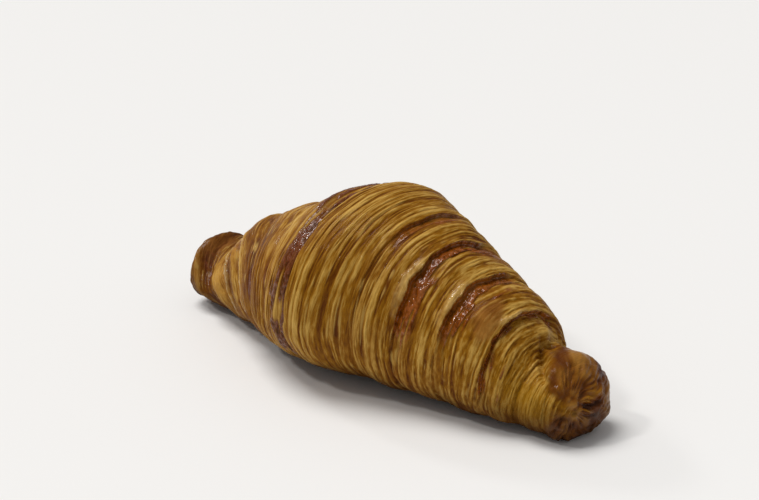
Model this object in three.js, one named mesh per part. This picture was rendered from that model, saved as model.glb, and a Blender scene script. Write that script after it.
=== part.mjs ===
// Butter croissant: one baked piece of laminated dough, rolled up from a long
// triangle and lying on its flattened underside.
//
// Frame: +X runs from the narrow tip to the bulbous tip, +Y towards the back and
// +Z up. The origin is on the resting plane, under the middle of the bounding box.
// Units are millimetres.
import * as THREE from 'three';

// ---------------------------------------------------------------- driving dimensions
const LENGTH = 160;
const HALF_LENGTH = LENGTH / 2;

// The roll's outline: place along the half length (-1 to 1), height, width.
const OUTLINE = [
  [-1.00, 24.0, 33.0],
  [-0.84, 19.0, 32.0],
  [-0.70, 28.0, 36.0],
  [-0.62, 34.5, 39.0],
  [-0.50, 39.0, 45.0],
  [-0.25, 48.5, 64.0],
  [0.00, 57.5, 74.0],
  [0.25, 53.0, 57.5],
  [0.50, 43.0, 44.5],
  [0.70, 33.0, 36.5],
  [0.80, 23.0, 28.5],
  [0.90, 22.0, 27.5],
  [1.00, 17.5, 26.0],
];

// Both tips bend back from the middle by this much.
const TIP_SWEEP = 5;
// Fraction of the half length that each rounded end takes.
const NARROW_CAP = 0.07;
const BULBOUS_CAP = 0.10;
const CAP_ROUNDNESS = 2.3;

// Cross-section: an oval whose lower half is lower than its upper half.
const WAIST = 0.44;
const UPPER_EXPONENT = 0.95;
const LOWER_EXPONENT = 0.95;
// The underside sinks this far into the baking surface, which flattens it.
const BASE_FLAT = 1.0;

// Wrap edges where they cross the front of the roll, from the middle outwards.
const EDGES_TO_BULBOUS_TIP = [0.22, 0.365, 0.512, 0.685, 0.79];
const EDGES_TO_NARROW_TIP = [0.03, 0.18, 0.32, 0.47, 0.62, 0.78];
const LAST_WRAP_MIDDLE = 0.1;
// Depth of the crease at a wrap edge, and the shape of the wrap between two creases.
const CREASE_DEPTH = 1.8;
const CREASE_SKEW = 0.8;
const CREASE_SHARPNESS = 0.5;

// Mesh density.
const RINGS = 96;
const SECTORS = 40;

// ---------------------------------------------------------------- helpers
const { clamp, lerp } = THREE.MathUtils;

// Angles round the roll go from the underside up the back, over the top and down
// the front to the underside again.
const UNDERSIDE = -Math.PI / 2;
const FRONT = Math.PI;

// Smooth curve through a table of rows, read at place u from the given column.
function readOutline(u, column) {
  const last = OUTLINE.length - 1;
  let i = 0;
  while (i < last - 1 && u > OUTLINE[i + 1][0]) {
    i += 1;
  }
  const slopeAt = (j) => {
    const a = OUTLINE[Math.max(j - 1, 0)];
    const b = OUTLINE[Math.min(j + 1, last)];
    return (b[column] - a[column]) / (b[0] - a[0]);
  };
  const [left, right] = [OUTLINE[i], OUTLINE[i + 1]];
  const span = right[0] - left[0];
  const t = (u - left[0]) / span;
  const t2 = t * t;
  const t3 = t2 * t;
  return left[column] * (2 * t3 - 3 * t2 + 1)
    + right[column] * (3 * t2 - 2 * t3)
    + slopeAt(i) * span * (t3 - 2 * t2 + t)
    + slopeAt(i + 1) * span * (t3 - t2);
}

// How much of the section is left at u inside a rounded end: 1 before it, 0 at the tip.
function capFactor(u) {
  const cap = u < 0 ? NARROW_CAP : BULBOUS_CAP;
  const depth = clamp((Math.abs(u) - (1 - cap)) / cap, 0, 1);
  return Math.sqrt(Math.max(1 - depth ** CAP_ROUNDNESS, 0));
}

// Number of wrap edges passed on the way from the middle to u, along the front.
function wrapsPassed(u) {
  const towardsBulb = u > LAST_WRAP_MIDDLE;
  const edges = towardsBulb ? EDGES_TO_BULBOUS_TIP : EDGES_TO_NARROW_TIP;
  const place = towardsBulb ? u : -u;
  let i = 0;
  while (i < edges.length - 2 && place > edges[i + 1]) {
    i += 1;
  }
  return i + (place - edges[i]) / (edges[i + 1] - edges[i]);
}

// Depth of the surface under the smooth roll, at the creases. The edges are one
// spiral on each half: once round the roll, an edge has moved inwards by one wrap.
// Both spirals end under the belly, where the last flap of the dough is tucked in.
function wrapRelief(u, angle) {
  const wraps = wrapsPassed(u) + (angle - FRONT) / (2 * Math.PI);
  if (wraps < 0) {
    return 0;
  }
  const across = (wraps % 1) ** CREASE_SKEW;
  return -CREASE_DEPTH * (1 - Math.sin(Math.PI * across) ** CREASE_SHARPNESS);
}

// Signed power, which bends a circle into a fuller or a leaner oval.
function signedPower(value, exponent) {
  return Math.sign(value) * Math.abs(value) ** exponent;
}

// A point on the crust, at u along the roll and an angle round it.
function crustPoint(u, angle) {
  const shrink = capFactor(u);
  const relief = wrapRelief(u, angle) * shrink;
  const height = readOutline(u, 1);
  const halfWidth = (readOutline(u, 2) / 2 + relief) * shrink;
  const waist = WAIST * height;
  const above = Math.sin(angle) > 0;
  const reach = above ? height + BASE_FLAT - waist + relief : waist;
  const exponent = above ? UPPER_EXPONENT : LOWER_EXPONENT;
  const x = u * HALF_LENGTH;
  const y = TIP_SWEEP * u * u + halfWidth * signedPower(Math.cos(angle), exponent);
  const z = waist + reach * shrink * signedPower(Math.sin(angle), exponent) - BASE_FLAT;
  return new THREE.Vector3(x, y, Math.max(z, 0));
}

// ---------------------------------------------------------------- the croissant
// Rings are closer together near the tips, where the form turns in.
function ringPlace(i) {
  const even = lerp(-1, 1, i / RINGS);
  const crowded = Math.sin((even * Math.PI) / 2);
  return lerp(even, crowded, 0.5);
}

function croissantGeometry() {
  const points = [crustPoint(-1, UNDERSIDE)];
  for (let i = 1; i < RINGS; i += 1) {
    for (let j = 0; j < SECTORS; j += 1) {
      const angle = UNDERSIDE + (2 * Math.PI * j) / SECTORS;
      points.push(crustPoint(ringPlace(i), angle));
    }
  }
  points.push(crustPoint(1, UNDERSIDE));

  const faces = [];
  const at = (ring, sector) => 1 + (ring - 1) * SECTORS + (sector % SECTORS);
  const lastPoint = points.length - 1;
  for (let j = 0; j < SECTORS; j += 1) {
    faces.push(0, at(1, j + 1), at(1, j));
    faces.push(lastPoint, at(RINGS - 1, j), at(RINGS - 1, j + 1));
    for (let i = 1; i < RINGS - 1; i += 1) {
      faces.push(at(i, j), at(i + 1, j + 1), at(i + 1, j));
      faces.push(at(i, j), at(i, j + 1), at(i + 1, j + 1));
    }
  }

  const geometry = new THREE.BufferGeometry().setFromPoints(points);
  geometry.setIndex(faces);
  geometry.computeVertexNormals();
  return geometry;
}

// Move the geometry so that the middle of its box is over the origin.
function centreOverOrigin(geometry) {
  geometry.computeBoundingBox();
  const middle = geometry.boundingBox.getCenter(new THREE.Vector3());
  geometry.translate(-middle.x, -middle.y, -geometry.boundingBox.min.z);
  return geometry;
}

const crust = new THREE.MeshStandardMaterial({
  color: 0xa8692b,
  roughness: 0.45,
  metalness: 0,
});

const croissant = new THREE.Mesh(centreOverOrigin(croissantGeometry()), crust);
croissant.name = 'croissant';

const part = new THREE.Group();
part.add(croissant);

export default part;
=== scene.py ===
"""The looks of a butter croissant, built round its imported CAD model.

The crust is one closed mesh. Its form is the same roll as the CAD solid, and over it
lie the wraps' edges, the dough's fine layers, glossy blistered terraces, torn lips and
the folds of the bulbous tip. All of that is geometry in millimetres, worked out on a
grid that runs along the roll (places) and round it (angles). The same fields are stored
on the mesh, where the crust's material reads them.
"""
import math

import bpy
import numpy as np
from mathutils import Matrix, Vector


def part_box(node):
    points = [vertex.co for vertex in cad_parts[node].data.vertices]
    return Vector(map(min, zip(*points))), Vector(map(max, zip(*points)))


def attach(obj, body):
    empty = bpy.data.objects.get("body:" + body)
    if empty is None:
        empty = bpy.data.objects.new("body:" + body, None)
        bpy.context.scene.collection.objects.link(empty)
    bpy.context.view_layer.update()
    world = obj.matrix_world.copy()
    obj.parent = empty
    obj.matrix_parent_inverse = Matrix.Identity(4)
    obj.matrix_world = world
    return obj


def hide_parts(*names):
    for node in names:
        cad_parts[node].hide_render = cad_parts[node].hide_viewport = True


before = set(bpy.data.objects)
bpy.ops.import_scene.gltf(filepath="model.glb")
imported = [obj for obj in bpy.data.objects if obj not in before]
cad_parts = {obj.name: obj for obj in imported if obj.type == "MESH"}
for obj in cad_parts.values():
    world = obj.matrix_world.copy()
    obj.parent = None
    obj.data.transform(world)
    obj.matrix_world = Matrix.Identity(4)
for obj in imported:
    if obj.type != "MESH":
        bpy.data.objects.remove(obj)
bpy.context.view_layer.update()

LOW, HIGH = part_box("croissant")
MM = 0.001

# ------------------------------------------------------------------ driving dimensions
# Millimetres, from the CAD solid's box.
LENGTH = (HIGH[0] - LOW[0]) / MM
WIDTH = (HIGH[1] - LOW[1]) / MM
HEIGHT = (HIGH[2] - LOW[2]) / MM
HALF_LENGTH = LENGTH / 2

# The roll's outline: place along the half length, share of the height, of the width.
OUTLINE = np.array([
    (-1.00, 0.420, 0.450),
    (-0.84, 0.325, 0.430),
    (-0.70, 0.490, 0.485),
    (-0.62, 0.598, 0.525),
    (-0.50, 0.675, 0.605),
    (-0.25, 0.845, 0.880),
    (0.00, 0.998, 1.000),
    (0.25, 0.920, 0.775),
    (0.50, 0.747, 0.600),
    (0.70, 0.573, 0.495),
    (0.80, 0.400, 0.385),
    (0.90, 0.385, 0.375),
    (1.00, 0.300, 0.350),
])
TIP_SWEEP = 5.0          # the tips bend back from the middle
NARROW_CAP = 0.07        # share of the half length in each rounded end
BULBOUS_CAP = 0.10
CAP_ROUNDNESS = 2.3
WAIST = 0.44             # height of the widest line, as a share of the height
UPPER_EXPONENT = 0.95
LOWER_EXPONENT = 0.98
BASE_FLAT = 1.0          # how far the underside is pressed flat
NARROW_TIP_LIFT = 0.5    # the narrow tip's underside clears the floor by this much

# Wrap edges where they cross the front, from the middle outwards.
EDGES_TO_BULBOUS_TIP = np.array([0.22, 0.365, 0.512, 0.685, 0.79])
EDGES_TO_NARROW_TIP = np.array([0.03, 0.18, 0.32, 0.47, 0.62, 0.78])
LAST_WRAP_MIDDLE = 0.1
WRAP_WIDTH = 11.5        # usual width of a wrap's visible strip
LAST_WRAP_WIDTH = 20.0   # the same for the flap in the middle
LEAN = 0.285             # how far the narrow half's layers lean outwards, in half lengths
MIDDLE_LEAN = 0.10       # how far those of the middle lean the other way
LEAN_TOWARDS = math.radians(70)    # where round the roll they lean most
ROUND_SCALE = 27.0       # millimetres round the roll for one radian

# Angles round the roll: 0 is the back, a quarter turn the top, half a turn the front.
UNDERSIDE = -math.pi / 2
FRONT = math.pi

FOLD_CENTRE = (0.965, math.radians(150))   # where the bulbous tip's folds meet
FOLD_LEVEL = np.array([0.65, 0.76, 0.0])   # level direction in the tip's face there
FOLDS_PER_RADIAN = 6.5
TIP_EDGE_ANGLES = np.radians([20, 60, 90, 110, 128, 150, 170])   # the fold's edge, by angle
TIP_EDGE_PLACES = np.array([0.775, 0.775, 0.790, 0.822, 0.850, 0.885, 0.91])

# The relief's heights, in millimetres.
RELIEF_SHIFT = -0.75     # keeps the relief's mean inside the plain roll
SWELL_HEIGHT = 1.2       # slow bulges of the whole roll
LUMP_HEIGHT = 0.5
CREASE_DEPTH = 0.45      # a step between two wraps
OPEN_CREASE_DEPTH = 0.95   # how much deeper it is where a terrace opens it
BLISTER_HEIGHT = 0.40
WISP_HEIGHT = 0.14       # as a share of the strands' height
FOLD_HEIGHT = 3.0        # the bulbous tip's folds
TIP_GROOVE_DEPTH = 1.8   # where that tip's skin is folded over
TIP_BULGE_HEIGHT = 0.7   # the skin behind that groove

PLACES = 1400            # grid along the roll
ANGLES = 400             # grid round the roll
SEED = 7


# ------------------------------------------------------------------ small maths
def smoothstep(low, high, value):
    t = np.clip((value - low) / (high - low), 0.0, 1.0)
    return t * t * (3.0 - 2.0 * t)


def signed_power(value, exponent):
    return np.sign(value) * np.abs(value) ** exponent


def blend(first, second, share):
    return first + share * (second - first)


def hump(value, centre, width):
    """1 at the centre, dying out smoothly over about a width on both sides."""
    return np.exp(-((value - centre) / width) ** 2)


class Noise:
    """Smooth random fields on a lattice, the same on every run."""

    SIZE = 1024

    def __init__(self, seed):
        random = np.random.default_rng(seed)
        self.table = random.random((self.SIZE, self.SIZE))
        self.shift = random.random(self.SIZE) * self.SIZE

    def _at(self, i, j):
        return self.table[i % self.SIZE, j % self.SIZE]

    def even(self, x, y):
        """Blotches about one unit across, from 0 to 1."""
        i, j = np.floor(x).astype(int), np.floor(y).astype(int)
        u, v = smoothstep(0, 1, x - i), smoothstep(0, 1, y - j)
        near = self._at(i, j) * (1 - u) + self._at(i + 1, j) * u
        far = self._at(i, j + 1) * (1 - u) + self._at(i + 1, j + 1) * u
        return near * (1 - v) + far * v

    def strands(self, across, along):
        """Streaks one unit wide and about one unit long, each with its own start."""
        i = np.floor(across).astype(int)
        u = smoothstep(0, 1, across - i)
        return self._strand(i, along) * (1 - u) + self._strand(i + 1, along) * u

    def _strand(self, i, along):
        i = i % self.SIZE
        place = along + self.shift[i]
        j = np.floor(place).astype(int)
        v = smoothstep(0, 1, place - j)
        return self._at(i, j) * (1 - v) + self._at(i, j + 1) * v

    def domes(self, x, y):
        """Round bumps about one unit apart, from 0 between them to 1 at their tops."""
        i, j = np.floor(x).astype(int), np.floor(y).astype(int)
        nearest = np.full_like(x, 9.0)
        for di in (-1, 0, 1):
            for dj in (-1, 0, 1):
                px = i + di + self._at(i + di, j + dj)
                py = j + dj + self._at(j + dj + 500, i + di + 300)
                nearest = np.minimum(nearest, np.hypot(x - px, y - py))
        return np.clip(1 - (nearest / 0.75) ** 2, 0, 1)


# ------------------------------------------------------------------ the smooth roll
def read_outline(u, column):
    """Catmull-Rom curve through the outline's rows."""
    at, value = OUTLINE[:, 0], OUTLINE[:, column]
    last = len(at) - 1
    i = np.clip(np.searchsorted(at, u, side="right") - 1, 0, last - 1)
    before = np.maximum(np.arange(last + 1) - 1, 0)
    after = np.minimum(np.arange(last + 1) + 1, last)
    slope = (value[after] - value[before]) / (at[after] - at[before])
    span = at[i + 1] - at[i]
    t = (u - at[i]) / span
    ends = value[i] * (2 * t**3 - 3 * t**2 + 1) + value[i + 1] * (3 * t**2 - 2 * t**3)
    bends = slope[i] * span * (t**3 - 2 * t**2 + t) + slope[i + 1] * span * (t**3 - t**2)
    return ends + bends


def cap_factor(u):
    cap = np.where(u < 0, NARROW_CAP, BULBOUS_CAP)
    depth = np.clip((np.abs(u) - (1 - cap)) / cap, 0, 1)
    return np.sqrt(np.clip(1 - depth**CAP_ROUNDNESS, 0, None))


def smooth_roll(u, angle):
    """Points of the roll without its wraps, in millimetres, before it is pressed flat."""
    shrink = cap_factor(u)
    height = read_outline(u, 1) * HEIGHT
    half_width = read_outline(u, 2) * WIDTH / 2 * shrink
    waist = WAIST * height
    above = np.sin(angle) > 0
    reach = np.where(above, height + BASE_FLAT - waist, waist) * shrink
    exponent = np.where(above, UPPER_EXPONENT, LOWER_EXPONENT)
    x = u * HALF_LENGTH + 0 * angle
    y = TIP_SWEEP * u * u + half_width * signed_power(np.cos(angle), exponent)
    z = waist + reach * signed_power(np.sin(angle), exponent) - BASE_FLAT
    lift = NARROW_TIP_LIFT * smoothstep(0.25, 0.75, -u)
    z = z + lift * np.clip(1 - z / height, 0, 1)
    return np.stack([x, y, z], axis=-1)


def even_places(count):
    """Places whose rings are equally far apart along the top of the roll."""
    fine = np.sin(np.linspace(-math.pi / 2, math.pi / 2, 20001))
    top = smooth_roll(fine, np.full_like(fine, math.pi / 2))
    run = np.concatenate([[0], np.cumsum(np.linalg.norm(np.diff(top, axis=0), axis=1))])
    return np.interp(np.linspace(0, run[-1], count), run, fine)


def even_angles(count):
    """Angles equally far apart round the widest section, from the underside."""
    fine = UNDERSIDE + np.linspace(0, 2 * math.pi, 20001)
    ring = smooth_roll(np.zeros_like(fine), fine)
    run = np.concatenate([[0], np.cumsum(np.linalg.norm(np.diff(ring, axis=0), axis=1))])
    return np.interp(np.linspace(0, run[-1], count, endpoint=False), run, fine)


# ------------------------------------------------------------------ the wraps
def swing(angle):
    return 0.5 * (1 + np.cos(angle - LEAN_TOWARDS))


def leaned(u, angle):
    """Where the layer through this point crosses the front of the roll."""
    amount = LEAN * smoothstep(0.02, 0.60, -u) * (1 - 0.5 * smoothstep(0.60, 0.95, -u))
    amount = amount - MIDDLE_LEAN * np.exp(-((u + 0.05) / 0.20) ** 2)
    return u + amount * (swing(angle) - swing(FRONT))


def edges_passed(edges, place):
    i = np.clip(np.searchsorted(edges, place, side="right") - 1, 0, len(edges) - 2)
    return i + (place - edges[i]) / (edges[i + 1] - edges[i])


def edge_place(edges, wraps):
    return edges[0] + wraps * (edges[1] - edges[0])


class Wraps:
    """Where each point of the grid lies on its wrap."""

    def __init__(self, u, angle, noise):
        along = angle * ROUND_SCALE
        turn = (angle - FRONT) / (2 * math.pi)
        place = leaned(u, angle)
        self.right = place > LAST_WRAP_MIDDLE
        ragged = (0.09 * (noise.even(u * 12 + 7, along / 5 + 3) - 0.5)
                  + 0.03 * (noise.even(u * 30 + 70, along / 2.1 + 30) - 0.5))
        passed = np.where(self.right, edges_passed(EDGES_TO_BULBOUS_TIP, place),
                          edges_passed(EDGES_TO_NARROW_TIP, -place))
        level = passed + turn
        torn = level + ragged
        self.in_last = torn < 0
        self.index = np.where(self.in_last, -1, np.floor(torn)).astype(int)

        # Place across the last flap, from its left edge (0) to its right edge (1).
        left_edge = -edge_place(EDGES_TO_NARROW_TIP, -turn)
        right_edge = edge_place(EDGES_TO_BULBOUS_TIP, -turn)
        flap = (place - left_edge) / (right_edge - left_edge)

        # Millimetres across the strands, growing from the narrow tip to the bulbous one.
        beyond = np.where(self.right, LAST_WRAP_WIDTH + level * WRAP_WIDTH,
                          -level * WRAP_WIDTH)
        self.across = np.where(level < 0, flap * LAST_WRAP_WIDTH, beyond)
        # Share of the wrap's strip passed, counted outwards, and the same in millimetres.
        outwards = np.where(self.right, flap, 1 - flap)
        self.share = np.where(self.in_last, outwards, torn - np.floor(torn))
        width = np.where(self.in_last, LAST_WRAP_WIDTH, WRAP_WIDTH)
        self.inner_gap = self.share * width          # from the crease on the inner side
        self.outer_gap = (1 - self.share) * width    # to the crease on the outer side

    def on(self, side, index):
        return (self.right == (side == "right")) & (self.index == index)


# Dark glossy terraces: side, wrap, first and last angle in degrees (90 is the top and 180
# the front), width in millimetres, darkness.
TERRACES = (
    ("right", 0, 62, 122, 4.6, 0.80),
    ("right", 1, 60, 176, 3.6, 1.00),
    ("right", 2, 66, 166, 3.6, 0.95),
    ("right", 3, 50, 150, 1.7, 0.95),
    ("right", 3, 146, 192, 3.6, 0.90),
    ("right", 0, -40, 30, 2.5, 0.70),
    ("right", 1, -60, 10, 3.0, 0.85),
    ("right", 2, -50, 30, 2.6, 0.80),
    ("right", 3, -70, 10, 2.4, 0.80),
    ("left", 0, 50, 218, 5.0, 1.00),
    ("left", 1, 105, 190, 2.0, 0.45),
    ("left", 2, 95, 200, 2.2, 0.55),
    ("left", 3, 90, 215, 2.6, 0.70),
    ("left", 4, 95, 200, 2.0, 0.45),
    ("left", 5, 95, 200, 3.0, 0.55),
    ("left", 0, -50, 40, 2.0, 0.75),
    ("left", 1, -30, 50, 1.8, 0.80),
    ("left", 2, -60, 20, 1.8, 0.70),
    ("left", 3, -40, 40, 2.0, 0.80),
    ("left", 4, -60, 30, 2.4, 0.80),
)

GLAZE_REACH = 1.9     # a terrace's glaze thins out over this many of its widths
BIG_BLISTER = (1.5, 2.2)      # millimetres along the roll, and round it
SMALL_BLISTER = (0.8, 1.1)

# Torn lips over the terraces: side, wrap, first and last angle, width, height.
LIPS = (
    ("right", 1, 124, 154, 2.8, 0.60),
    ("right", 2, 114, 152, 2.2, 0.55),
    ("right", 3, 100, 120, 1.8, 0.40),
    ("left", 3, 120, 200, 1.6, 0.30),
    ("left", 4, 95, 215, 2.6, 0.50),
    ("right", 1, -50, 0, 1.3, 0.45),
    ("right", 2, -40, 20, 1.3, 0.50),
    ("left", 1, -20, 40, 1.2, 0.45),
    ("left", 3, -30, 30, 1.3, 0.50),
)
SPAN_FADE = 9.0       # degrees over which a terrace or lip dies out

# Spots on the crust: place, angle, length and height in millimetres. The first three are
# smooth skin between the strands, and the last is the pale spot before the bulbous tip's folds.
NARROW_END_PATCH = (-0.92, 105, 4.0, 10.0)
SKIN_PATCHES = ((0.655, 126, 3.6, 9.0), (0.46, 64, 4.0, 8.0), NARROW_END_PATCH)
GOLDEN_SPOT = (0.845, 172, 8.0, 9.0)
PATCH_ROUND_SCALE = 0.75 * ROUND_SCALE    # the roll is slimmer there than in the middle
TIP_ROUND_SCALE = 14.0                    # and slimmer still near the tip


def span_mask(angle, first, last, wobble):
    degrees = np.degrees(angle) + wobble
    return (smoothstep(first - SPAN_FADE, first + SPAN_FADE, degrees)
            * (1 - smoothstep(last - SPAN_FADE, last + SPAN_FADE, degrees)))


# Pitch across the layers and usual length along them, in millimetres.
RING = (4.3, 32)         # the broad rings that the layers group into
# HAIR's pale wisps are partly the dough's pale flakes and partly painted highlight on the
# layers' crests.
HAIR = (0.42, 8)         # pale wisps
SCAR = (1.2, 16)
NARROW_FEATHER = (0.8, 7)    # the torn edges of terraces and lips
BROAD_FEATHER = (2.2, 11)

# The strands: pitch, length and lattice shift, then their share in the colour and in the
# height.
STREAKS = (
    (2.10, 34, 801, 0.10, 0.14),
    (1.10, 26, 401, 0.26, 0.24),
    (0.65, 18, 211, 0.34, 0.36),
    (0.38, 10, 11, 0.30, 0.28),
)


# ------------------------------------------------------------------ the crust's fields
class Crust:
    """Relief in millimetres, and what the material reads, at each point of the grid.

    Most fields go from 0 to 1. What a noise is read at is a place divided by the size of
    its blotches, and a number added to that only picks another part of the lattice.
    """

    def __init__(self, u, angle, base):
        self.u, self.angle, self.base = u, angle, base
        self.noise = Noise(SEED)
        self.wraps = Wraps(u, angle, self.noise)
        self.along = angle * ROUND_SCALE
        self._strands()
        self._blunt_face()
        self._terraces()
        self._lips()
        self._nose()
        self._baking()
        self.relief = self._relief()

    def _strands(self):
        """The dough's layers, cut through by the wraps' edges: long parallel streaks."""
        n, across, along = self.noise, self.wraps.across, self.along
        sway = (1.8 * (n.even(across / 9 + 40, along / 24 + 9) - 0.5)
                + 0.7 * (n.even(across / 3 + 3, along / 12 + 77) - 0.5))
        self.strand_place = across + sway
        self.calm = smoothstep(0.15, 0.45, -self.u)    # the narrow half has softer layers
        self.ring = self._streaks(RING, 1)
        hairs = self._streaks(HAIR, 1201)
        hairs = hairs * (0.7 + 0.5 * n.even(self.strand_place / 2, along / 3))
        self.wisp_and_highlight = smoothstep(0.70, 0.95, hairs)
        in_colour = np.zeros_like(self.u)
        in_height = WISP_HEIGHT * self.wisp_and_highlight
        for pitch, length, shift, colour_share, height_share in STREAKS:
            streak = self._broken_streaks((pitch, length), shift)
            in_colour += colour_share * streak
            in_height += height_share * streak
        self.strand = self._strand_colour(in_colour)
        self.strand_height = ((0.30 + 0.8 * self.calm) * (self.ring - 0.5)
                              + (0.80 - 0.25 * self.calm) * (in_height - 0.54))

    def _strand_colour(self, streaks):
        """From dark hollows (0) to pale ridges (1), with a few darker scars. The same streaks
        raise the relief, so the dark hollows are partly painted shade and the pale ridges partly
        painted highlight.
        """
        scar = smoothstep(0.70, 0.95, self._streaks(SCAR, 1501))
        plain = 0.5 + (1.35 - 0.45 * self.calm) * (streaks - 0.5) - 0.12 * scar
        plain = plain + (0.15 + 0.65 * self.calm) * (self.ring - 0.5)
        return np.clip(0.8 * plain + 0.2 * smoothstep(0.22, 0.78, plain), 0, 1)

    def _streaks(self, size, shift):
        pitch, length = size
        return self.noise.strands(self.strand_place / pitch + shift, self.along / length)

    def _broken_streaks(self, size, shift):
        """Streaks that stand out more in some places than in others."""
        pitch, length = size
        strength = self.noise.even(self.strand_place / (2.5 * pitch) + shift,
                                   4.5 * self.along / length)
        return 0.5 + (self._streaks(size, shift) - 0.5) * (0.35 + 1.3 * strength)

    def _blunt_face(self):
        """The narrow tip's blunt face is crumpled skin, with no layers to see."""
        n = self.noise
        face = smoothstep(0.945, 0.985, -self.u)
        y, z = self.base[..., 1], self.base[..., 2]
        crumple = 0.55 * n.even(y / 4 + 5, z / 4) + 0.45 * n.even(y / 1.5 + 90, z / 1.5)
        self.layer_across = blend(self.strand_place, y, face)
        self.layer_along = blend(self.along, z, face)
        self.strand = blend(self.strand, crumple, face)
        self.strand_height = blend(self.strand_height, 1.6 * (crumple - 0.5), face)

    def _feather(self, shift):
        return (0.6 * self._streaks(NARROW_FEATHER, shift)
                + 0.4 * self._streaks(BROAD_FEATHER, shift))

    def _terraces(self):
        """Where an open crease shows the dark glazed dough, and the blisters on it."""
        n, w = self.noise, self.wraps
        wobble = 22 * (n.even(w.across / 2.0 + 5, self.along / 8) - 0.5)
        feather = 1.3 * (self._feather(321) - 0.5)
        breaks = 0.4 * (n.even(w.across / 6 + 9, self.along / 5) - 0.5)
        self.terrace = np.zeros_like(self.u)
        self.open = np.zeros_like(self.u)
        for side, index, first, last, width, darkness in TERRACES:
            here = w.on(side, index)
            span = span_mask(self.angle, first, last, wobble)
            edge = 1 - w.inner_gap / (GLAZE_REACH * width) + feather + breaks
            band = smoothstep(0.35, 0.62, edge) * span * here * darkness
            self.terrace = np.maximum(self.terrace, band)
            self.open = np.maximum(self.open, span * here * darkness)
        skew_x = self.u * HALF_LENGTH + 0.8 * n.even(self.u * 70, self.along / 1.1)
        skew_y = self.along + 0.8 * n.even(self.u * 70 + 30, self.along / 1.1 + 30)
        big = n.domes(skew_x / BIG_BLISTER[0], skew_y / BIG_BLISTER[1])
        small = n.domes(skew_x / SMALL_BLISTER[0] + 99, skew_y / SMALL_BLISTER[1] + 9)
        self.blisters = 0.5 * big + 0.5 * small

    def _lips(self):
        """Torn rims that the wrap above a terrace ends in."""
        n, w = self.noise, self.wraps
        wobble = 14 * (n.even(w.across / 4 + 55, self.along / 4 + 5) - 0.5)
        torn = (0.45 + 0.7 * n.even(w.across / 40 + 70, self.along / 6 + 31)
                + 0.3 * n.even(w.across / 40 + 170, self.along / 1.8 + 31))
        feather = 0.5 * (self._feather(777) - 0.5)
        self.lip = np.zeros_like(self.u)
        self.lip_height = np.zeros_like(self.u)
        for side, index, first, last, width, height in LIPS:
            span = span_mask(self.angle, first, last, wobble)
            edge = 1 - w.outer_gap / (width * torn + 0.2) + feather
            band = smoothstep(0.05, 0.60, edge) * span * w.on(side, index - 1)
            self.lip = np.maximum(self.lip, band)
            self.lip_height = np.maximum(self.lip_height, band * height)

    def _nose(self):
        """The bulbous tip: skin on top, with folds running in to the end of the roll."""
        centre = smooth_roll(np.array(FOLD_CENTRE[0]), np.array(FOLD_CENTRE[1]))
        away = self.base - centre
        level, rise = away @ FOLD_LEVEL, away[..., 2]
        distance = np.linalg.norm(away, axis=-1)
        self._nose_folds(level, rise, distance)
        self._nose_skin(level, rise)
        self.golden = self._spot(GOLDEN_SPOT, TIP_ROUND_SCALE)

    def _nose_folds(self, level, rise, distance):
        n = self.noise
        wander = 2.2 * (n.even(level / 4.5 + 50, rise / 4.5 + 20) - 0.5)
        bearing = np.arctan2(rise, level) * FOLDS_PER_RADIAN + wander
        radial = (0.24 * n.strands(bearing * 0.5 + 60, distance / 6 + 3)
                  + 0.44 * n.strands(bearing + 260, distance / 4.5 + 3)
                  + 0.32 * n.strands(bearing * 2.1 + 160, distance / 3 + 3))
        self.nose_lumps = n.even(level / 1.6 + 80, rise / 1.6 + 80)
        self.fold_shape = blend(self.nose_lumps, radial, smoothstep(1.5, 6.5, distance))
        side = smoothstep(-9.0, -1.5, level)
        near = (1 - smoothstep(10, 17, distance)) * smoothstep(0.0, 6.0, distance)
        below = 0.35 + 0.65 * smoothstep(-4.0, 4.0, 0.6 * level - rise)
        self.fold = near * side * below * smoothstep(0.80, 0.88, self.u)

    def _nose_skin(self, level, rise):
        n = self.noise
        self.crumbs = (0.70 * n.even(level / 2.8 + 20, rise / 2.2)
                       + 0.45 * n.even(level / 1.1 + 70, rise / 0.9))
        blotch = n.even(level / 4.5 + 10, rise / 4.5 + 10)
        self.skin_shape = 0.50 * blotch + 0.25 * self.nose_lumps + 0.25 * self.crumbs
        edge = np.interp(self.angle, TIP_EDGE_ANGLES, TIP_EDGE_PLACES)
        edge = edge + 0.012 * (n.even(self.along / 2.5, self.u * 20) - 0.5)
        self.tip_gap = (self.u - edge) * HALF_LENGTH
        wobble = 10 * (n.even(self.u * 40, self.along / 4) - 0.5)
        top = span_mask(self.angle, -60, 150, wobble)
        skin = smoothstep(-0.3, 3.5, self.tip_gap + 2.0 * (self.skin_shape - 0.5)) * top
        self.nose = np.maximum(skin, smoothstep(0.15, 0.7, self.fold))

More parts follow.
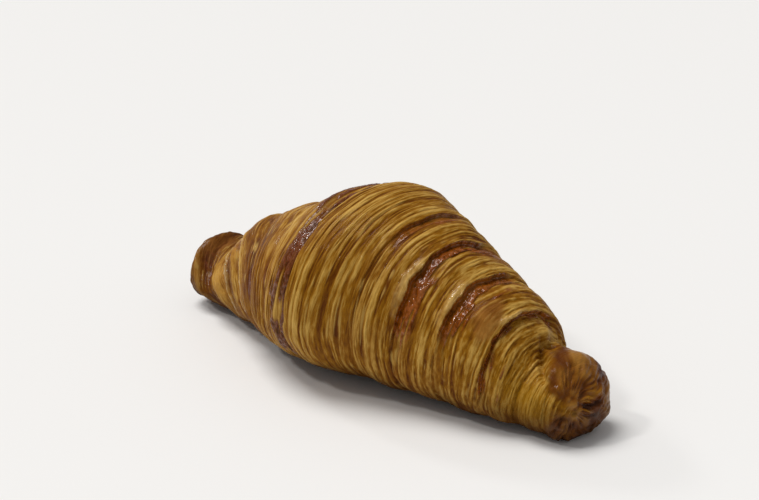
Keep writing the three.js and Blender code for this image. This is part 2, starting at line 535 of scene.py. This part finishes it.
    def _baking(self):
        """How brown the crust is, from pale (0) to dark (1), and its special patches. The top is
        painted paler as painted light, and the narrow half darker as painted shade.
        """
        n, w = self.noise, self.wraps
        x, y, z = np.moveaxis(self.base, -1, 0)
        blotch = (0.55 * n.even(x / 7.3 + 20, (y + z) / 10 + 8)
                  + 0.45 * n.even(x / 2.7 + 60, (y - z) / 5 + 15))
        self.underside = 1 - smoothstep(1.0, 14.0, z + 5.0 * (blotch - 0.5))
        self.end = smoothstep(0.74, 0.97, -self.u + 0.12 * (blotch - 0.5))
        self.warm = smoothstep(0.05, 0.20, self.u) * smoothstep(0.15, 0.75, blotch)
        self.skin = self._skin_patches(blotch)
        valley = np.exp(-(w.inner_gap / 2.5)) * (1 - w.in_last)
        top = smoothstep(0.55, 1.0, np.sin(self.angle))
        end_patch = self._spot(NARROW_END_PATCH, PATCH_ROUND_SCALE)
        brown = 0.05 + 0.99 * (blotch - 0.5) + 0.50 * (self.ring - 0.5)
        # The narrow half (calm) is painted browner: painted shade.
        brown = brown + 0.35 * valley + 0.70 * end_patch + 0.40 * self.calm
        # The upper side (top) is painted paler: painted light.
        brown = brown - 0.30 * top - 0.30 * self.golden
        self.bake = np.clip(brown, 0, 1)

    def _skin_patches(self, blotch):
        skin = np.zeros_like(self.u)
        for patch in SKIN_PATCHES:
            ragged = self._spot(patch, PATCH_ROUND_SCALE) + 0.7 * (blotch - 0.5)
            skin = np.maximum(skin, smoothstep(0.35, 0.75, ragged))
        return skin

    def _spot(self, spot, round_scale):
        """1 in the middle of an oval spot on the crust, dying out towards its edge."""
        place, degrees, length, height = spot
        du = (self.u - place) * HALF_LENGTH / length
        da = (self.angle - math.radians(degrees)) * round_scale / height
        return np.exp(-(du * du + da * da))

    def _relief(self):
        """Millimetres outwards from the smooth roll."""
        n = self.noise
        smooth = np.clip(self.terrace + 0.3 * self.lip + 0.95 * self.nose + 0.6 * self.skin
                         + 0.6 * self.underside, 0, 1)
        strands = self.strand_height * (1 - 0.85 * smooth)
        glazed = np.maximum(smoothstep(0.70, 0.95, self.terrace), 0.6 * self.lip)
        past_crease = smoothstep(0.3, 1.8, self.wraps.inner_gap)
        blisters = BLISTER_HEIGHT * self.blisters * glazed * past_crease
        folds = self.fold * FOLD_HEIGHT * (self.fold_shape - 0.5)
        crumbs = (1 - self.golden) * smoothstep(0.84, 0.92, self.u) * self.crumbs
        swell = SWELL_HEIGHT * (n.even(self.u * 7 + 31, self.angle * 1.6 + 4) - 0.5)
        lumps = LUMP_HEIGHT * (n.even(self.u * 22 + 3, self.angle * 5 + 14) - 0.5)
        return (RELIEF_SHIFT + self._tip_edge() + self._wrap_steps() + strands + blisters
                + folds + crumbs + self.lip_height + swell + lumps)

    def _tip_edge(self):
        """A groove where the bulbous tip's skin is folded over, and the bulge behind it."""
        groove = hump(self.tip_gap, 0.0, 1.1) * span_mask(self.angle, 0, 138, 0)
        bulge = hump(self.tip_gap, 4.0, 3.0) * span_mask(self.angle, 40, 140, 0)
        return TIP_BULGE_HEIGHT * bulge - TIP_GROOVE_DEPTH * groove

    def _wrap_steps(self):
        """Each wrap rises from under the one before it and ends proud of the next."""
        w, n = self.wraps, self.noise
        depth = np.where(w.in_last, 0.0, CREASE_DEPTH + OPEN_CREASE_DEPTH * self.open)
        depth = depth * (0.6 + 0.8 * n.even(w.across / 25 + 12, self.along / 18 + 44))
        fade_in = smoothstep(0.0, 0.35, w.inner_gap)      # keeps the step from being a cliff
        sunk = 1 - smoothstep(0.0, 7.0, w.inner_gap)
        crown = (0.30 + 0.6 * self.calm) * np.sin(math.pi * np.clip(w.share, 0, 1))
        return crown - depth * sunk * fade_in * (1 - self.nose)


# ------------------------------------------------------------------ the mesh
def grid_normals(points):
    along = np.gradient(points, axis=0)
    round_ = np.roll(points, -1, axis=1) - np.roll(points, 1, axis=1)
    normal = np.cross(round_, along)
    length = np.linalg.norm(normal, axis=-1, keepdims=True)
    return normal / np.maximum(length, 1e-9)


def crust_grid():
    places = even_places(PLACES)[1:-1]
    angles = even_angles(ANGLES)
    u, angle = np.meshgrid(places, angles, indexing="ij")
    base = smooth_roll(u, angle)
    crust = Crust(u, angle, base)
    fade = smoothstep(0.0, 0.5, cap_factor(u))[..., None]
    points = base + grid_normals(base) * crust.relief[..., None] * fade
    points[..., 2] = np.maximum(points[..., 2], 0.0)
    return points, crust


def grid_faces(rings, sectors):
    """Quads between the rings, and a fan of triangles to a point at each tip."""
    ring = np.arange(rings - 1)[:, None] * sectors
    sector = np.arange(sectors)[None, :]
    after = (sector + 1) % sectors
    quads = np.stack([ring + sector, ring + after,
                      ring + sectors + after, ring + sectors + sector], axis=-1)
    first, last = rings * sectors, rings * sectors + 1
    spoke = np.arange(sectors)
    next_spoke = (spoke + 1) % sectors
    near = np.stack([np.full(sectors, first), next_spoke, spoke], axis=-1)
    row = (rings - 1) * sectors
    far = np.stack([np.full(sectors, last), row + spoke, row + next_spoke], axis=-1)
    return quads.reshape(-1, 4).tolist() + near.tolist() + far.tolist()


def with_tips(field):
    return np.concatenate([field.ravel(), [field[0].mean(), field[-1].mean()]])


def store_unwrapping(mesh, rings, sectors):
    """Lays the grid out flat: along the roll, and round it from the underside."""
    corners = np.empty(len(mesh.loops), dtype=np.int64)
    mesh.loops.foreach_get("vertex_index", corners)
    starts = np.empty(len(mesh.polygons), dtype=np.int64)
    counts = np.empty(len(mesh.polygons), dtype=np.int64)
    mesh.polygons.foreach_get("loop_start", starts)
    mesh.polygons.foreach_get("loop_total", counts)
    face = np.repeat(np.arange(len(starts)), counts)
    sector = corners % sectors
    place = (corners // sectors + 1) / (rings + 1)
    tip = corners >= rings * sectors
    place = np.where(corners == rings * sectors, 0.0, place)
    place = np.where(corners == rings * sectors + 1, 1.0, place)
    highest = np.maximum.reduceat(np.where(tip, 0, sector), starts)[face]
    wraps_round = (sector == 0) & (highest == sectors - 1) & ~tip
    round_ = np.where(wraps_round, sectors, sector) / sectors
    round_ = np.where(tip, highest / sectors, round_)
    layer = mesh.uv_layers.new(name="OFBake")
    layer.uv.foreach_set("vector", np.stack([place, round_], axis=-1).ravel().astype(np.float32))


# The crust's fields that the material reads.
FIELDS = ("strand", "wisp_and_highlight", "terrace", "lip", "bake", "nose", "skin", "underside", "blisters",
          "golden", "fold", "fold_shape", "skin_shape", "end", "warm")


def croissant_mesh():
    points, crust = crust_grid()
    rings, sectors = points.shape[:2]
    tips = smooth_roll(np.array([-1.0, 1.0]), np.array([0.0, 0.0]))
    vertices = np.concatenate([points.reshape(-1, 3), tips]) * MM

    mesh = bpy.data.meshes.new("croissant_crust")
    mesh.from_pydata(vertices.tolist(), [], grid_faces(rings, sectors))
    mesh.polygons.foreach_set("use_smooth", np.ones(len(mesh.polygons), dtype=bool))
    for name in FIELDS:
        field = with_tips(getattr(crust, name)).astype(np.float32)
        mesh.attributes.new(name, "FLOAT", "POINT").data.foreach_set("value", field)
    layers = np.stack([with_tips(crust.layer_across), with_tips(crust.layer_along),
                       np.zeros(rings * sectors + 2)], axis=-1)
    layer = mesh.attributes.new("layers", "FLOAT_VECTOR", "POINT")
    layer.data.foreach_set("vector", layers.ravel().astype(np.float32))
    store_unwrapping(mesh, rings, sectors)
    mesh.update()
    return mesh


# ------------------------------------------------------------------ material
class Nodes:
    """Short names for the shader nodes that the crust uses."""

    def __init__(self, tree):
        self.tree = tree

    def new(self, kind, **values):
        node = self.tree.nodes.new(kind)
        for name, value in values.items():
            setattr(node, name, value)
        return node

    def link(self, source, target):
        self.tree.links.new(source, target)

    def put(self, socket, value):
        if isinstance(value, bpy.types.NodeSocket):
            self.link(value, socket)
        else:
            socket.default_value = value

    def field(self, name):
        return self.new("ShaderNodeAttribute", attribute_name=name).outputs["Fac"]

    def math(self, operation, a, b, clamp=False):
        node = self.new("ShaderNodeMath", operation=operation, use_clamp=clamp)
        self.put(node.inputs[0], a)
        self.put(node.inputs[1], b)
        return node.outputs[0]

    def add(self, a, b):
        return self.math("ADD", a, b)

    def times(self, a, b):
        return self.math("MULTIPLY", a, b)

    def around_half(self, value, amount):
        """A field's swing about its mean of one half, made stronger or weaker."""
        return self.times(self.math("SUBTRACT", value, 0.5), amount)

    def mix(self, factor, a, b):
        node = self.new("ShaderNodeMix", data_type="RGBA")
        self.put(node.inputs[0], factor)
        self.put(node.inputs[6], a)
        self.put(node.inputs[7], b)
        return node.outputs[2]

    def ramp(self, factor, *stops):
        node = self.new("ShaderNodeValToRGB")
        elements = node.color_ramp.elements
        while len(elements) < len(stops):
            elements.new(0.5)
        for element, (place, colour) in zip(elements, stops):
            element.position = place
            element.color = colour
        self.put(node.inputs[0], factor)
        return node.outputs[0]

    def noise(self, vector, scale, detail):
        node = self.new("ShaderNodeTexNoise")
        self.link(vector, node.inputs["Vector"])
        node.inputs["Scale"].default_value = scale
        node.inputs["Detail"].default_value = detail
        node.inputs["Roughness"].default_value = 0.55
        return node.outputs["Fac"]

    def stretched(self, vector, scale):
        node = self.new("ShaderNodeMapping")
        self.link(vector, node.inputs["Vector"])
        node.inputs["Scale"].default_value = scale
        return node.outputs["Vector"]


def srgb(red, green, blue):
    def linear(value):
        value /= 255
        return value / 12.92 if value <= 0.04045 else ((value + 0.055) / 1.055) ** 2.4
    return linear(red), linear(green), linear(blue), 1.0


def layer_colour(n, mottle, fine):
    """Amber strands, darker and redder where they are baked more. Their value is lower in the
    hollows between the layers and higher on their ridges: partly painted shade and painted
    highlight.
    """
    value = n.add(n.field("strand"), n.around_half(fine, 0.8))
    value = n.add(value, n.around_half(mottle, 0.35))
    pale = n.ramp(value, (0.08, srgb(98, 50, 1)), (0.46, srgb(148, 98, 14)),
                  (0.90, srgb(204, 162, 80)))
    brown = n.ramp(value, (0.08, srgb(72, 28, 1)), (0.48, srgb(112, 58, 3)),
                   (0.90, srgb(164, 110, 34)))
    colour = n.mix(n.field("bake"), pale, brown)
    # The pale wisps sit on raised crests: partly the dough's pale flakes, partly painted
    # highlight.
    return n.mix(n.times(n.field("wisp_and_highlight"), 0.5), colour, srgb(214, 174, 92))


def tips_colour(n, colour, mottle):
    """Smooth skin patches, the golden spot, the bulbous nose and the narrow end."""
    shell = n.ramp(mottle, (0.30, srgb(112, 62, 16)), (0.70, srgb(164, 108, 44)))
    colour = n.mix(n.times(n.field("skin"), 0.75), colour, shell)
    colour = n.mix(n.times(n.field("golden"), 0.6), colour, srgb(150, 108, 12))
    tip = n.ramp(n.field("skin_shape"), (0.30, srgb(78, 32, 2)), (0.50, srgb(116, 66, 6)),
                 (0.72, srgb(160, 110, 40)))
    # The folds are painted darker where their relief sinks and paler where it rises: painted
    # shade in the furrows.
    furrow_shade = n.ramp(n.field("fold_shape"), (0.28, srgb(46, 15, 2)), (0.48, srgb(102, 50, 4)),
                     (0.72, srgb(158, 106, 26)))
    colour = n.mix(n.field("nose"), colour, n.mix(n.field("fold"), tip, furrow_shade))
    return n.mix(n.times(n.field("end"), 0.40), colour, srgb(84, 42, 8))


def glazed_colour(n, colour, mottle):
    """Dark egg-washed terraces, and the pale torn lips over them. Both are painted darker
    between the blisters and paler on their domes: painted shade and painted highlight, mixed
    with mottled tone.
    """
    dome_shade_and_mottle = n.add(n.times(n.field("blisters"), 0.6), n.times(mottle, 0.5))
    maroon = n.ramp(dome_shade_and_mottle, (0.2, srgb(36, 10, 1)), (0.8, srgb(112, 48, 1)))
    orange = n.ramp(dome_shade_and_mottle, (0.2, srgb(62, 20, 1)), (0.8, srgb(154, 78, 4)))
    glaze = n.mix(n.field("warm"), maroon, orange)
    colour = n.mix(n.times(n.field("terrace"), 0.92), colour, glaze)
    cream = n.ramp(dome_shade_and_mottle, (0.2, srgb(150, 102, 34)), (0.7, srgb(212, 172, 100)))
    return n.mix(n.times(n.field("lip"), 0.52), colour, cream)


def crust_colour(n, grain, mottle, fine):
    colour = layer_colour(n, mottle, fine)
    colour = tips_colour(n, colour, mottle)
    colour = glazed_colour(n, colour, mottle)
    # Darker towards the bottom.
    dark_bottom = n.ramp(mottle, (0.3, srgb(48, 22, 5)), (0.7, srgb(88, 48, 12)))
    colour = n.mix(n.times(n.field("underside"), 0.9), colour, dark_bottom)
    return n.mix(n.times(grain, 0.35), colour, n.mix(0.4, colour, srgb(50, 20, 2)))


def crust_roughness(n, mottle):
    rough = n.add(0.50, n.times(n.field("terrace"), -0.22))
    rough = n.add(rough, n.times(n.field("nose"), -0.10))
    rough = n.add(rough, n.times(n.field("underside"), 0.30))
    return n.math("ADD", rough, n.around_half(mottle, 0.3), clamp=True)


def crust_gloss(n, mottle):
    """The egg wash: thick on blisters, on lips and on the tips' skin, thin elsewhere."""
    blister = n.math("POWER", n.field("blisters"), 3.0)
    glazed = n.math("POWER", n.field("terrace"), 2.0)
    gloss = n.add(0.05, n.times(glazed, n.times(blister, 1.6)))
    gloss = n.add(gloss, n.times(n.field("lip"), n.add(0.15, blister)))
    shiny = n.add(n.field("nose"), n.times(n.field("end"), 0.6))
    gloss = n.add(gloss, n.times(shiny, n.math("POWER", n.field("skin_shape"), 3.0)))
    return n.math("MULTIPLY", gloss, n.add(0.4, mottle), clamp=True)


# How fine the shader's own noises are: two in every direction, and one that is drawn out
# along the layers (across them, along them).
GRAIN_PER_METRE = 1100
MOTTLE_PER_METRE = 170
FINE_PER_MILLIMETRE = (2.4, 0.32, 1.0)


def crust_material():
    material = bpy.data.materials.new("croissant_crust")
    material.use_nodes = True
    material.node_tree.nodes.clear()
    n = Nodes(material.node_tree)

    in_piece = n.new("ShaderNodeTexCoord").outputs["Object"]
    in_layers = n.new("ShaderNodeAttribute", attribute_name="layers").outputs["Vector"]
    grain = n.noise(in_piece, GRAIN_PER_METRE, 4)
    mottle = n.noise(in_piece, MOTTLE_PER_METRE, 4)
    fine = n.noise(n.stretched(in_layers, FINE_PER_MILLIMETRE), 1.0, 2)

    relief = n.new("ShaderNodeBump")
    relief.inputs["Strength"].default_value = 0.6
    relief.inputs["Distance"].default_value = 0.0004
    speckle = n.times(grain, n.add(0.3, n.times(n.field("terrace"), 1.2)))
    n.link(n.add(speckle, fine), relief.inputs["Height"])

    shader = n.new("ShaderNodeBsdfPrincipled")
    n.link(crust_colour(n, grain, mottle, fine), shader.inputs["Base Color"])
    n.link(crust_roughness(n, mottle), shader.inputs["Roughness"])
    n.link(crust_gloss(n, mottle), shader.inputs["Coat Weight"])
    n.link(relief.outputs["Normal"], shader.inputs["Normal"])
    shader.inputs["Coat Roughness"].default_value = 0.11
    shader.inputs["Specular IOR Level"].default_value = 0.06
    shader.inputs["IOR"].default_value = 1.45
    output = n.new("ShaderNodeOutputMaterial")
    n.link(shader.outputs["BSDF"], output.inputs["Surface"])
    return material


def build_croissant():
    mesh = croissant_mesh()
    piece = bpy.data.objects.new("croissant_crust", mesh)
    bpy.context.scene.collection.objects.link(piece)
    mesh.materials.append(crust_material())
    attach(piece, "root")
    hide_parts("croissant")


# ------------------------------------------------------------------ stage, light, camera
FLOOR_HALF = 4.0        # metres
FLOOR_DROP = 0.0002     # keeps the floor clear of the croissant's flat underside


def build_floor():
    half = FLOOR_HALF
    corners = [(-half, -half, 0), (half, -half, 0), (half, half, 0), (-half, half, 0)]
    mesh = bpy.data.meshes.new("floor")
    mesh.from_pydata(corners, [], [(0, 1, 2, 3)])
    material = bpy.data.materials.new("floor_white")
    material.use_nodes = True
    shader = material.node_tree.nodes["Principled BSDF"]
    shader.inputs["Base Color"].default_value = srgb(238, 237, 236)
    shader.inputs["Roughness"].default_value = 0.7
    shader.inputs["Specular IOR Level"].default_value = 0.2
    mesh.materials.append(material)
    floor = bpy.data.objects.new("floor", mesh)
    floor.location.z = -FLOOR_DROP
    bpy.context.scene.collection.objects.link(floor)


# A wide soft light from above, a weaker one from the left and one from the front: name,
# direction towards it, how many degrees of sky it fills, strength, colour.
LIGHTS = (
    ("key", (-0.38, -0.12, 1.00), 34, 1.95, (1.0, 0.99, 0.97)),
    ("window", (-0.85, 0.00, 0.50), 6, 0.34, (1.0, 1.0, 1.0)),
    ("lamp", (-0.40, -0.55, 0.75), 6, 0.50, (1.0, 0.98, 0.95)),
)
WORLD_STRENGTH = 0.32


def build_lights():
    for name, towards, degrees, strength, colour in LIGHTS:
        light = bpy.data.lights.new(name, "SUN")
        light.energy = strength
        light.angle = math.radians(degrees)
        light.color = colour
        holder = bpy.data.objects.new(name, light)
        holder.location = Vector(towards)
        holder.rotation_euler = Vector(towards).to_track_quat("Z", "Y").to_euler()
        bpy.context.scene.collection.objects.link(holder)
    world = bpy.data.worlds.new("studio")
    world.use_nodes = True
    background = world.node_tree.nodes["Background"]
    background.inputs["Color"].default_value = (1.0, 1.0, 1.0, 1.0)
    background.inputs["Strength"].default_value = WORLD_STRENGTH
    bpy.context.scene.world = world


# The camera's place from the middle of the croissant, in half lengths, and its aim.
CAMERA_PLACE = (3.471, -3.647, 2.206)
CAMERA_AIM = (-0.6495, 0.6856, -0.3289)
CAMERA_ROLL = math.radians(1.25)
LENS = 66.9
SENSOR = 36.0


def build_camera():
    camera = bpy.data.cameras.new("camera")
    camera.lens = LENS
    camera.sensor_width = SENSOR
    camera.clip_start = 0.01
    holder = bpy.data.objects.new("camera", camera)
    half = HALF_LENGTH * MM
    aim = Vector(CAMERA_AIM).to_track_quat("-Z", "Y").to_matrix().to_4x4()
    roll = Matrix.Rotation(CAMERA_ROLL, 4, "Z")
    holder.matrix_world = Matrix.Translation(Vector(CAMERA_PLACE) * half) @ aim @ roll
    bpy.context.scene.collection.objects.link(holder)
    bpy.context.scene.camera = holder


build_camera()
build_croissant()
build_floor()
build_lights()
bpy.context.scene.view_settings.view_transform = "Standard"
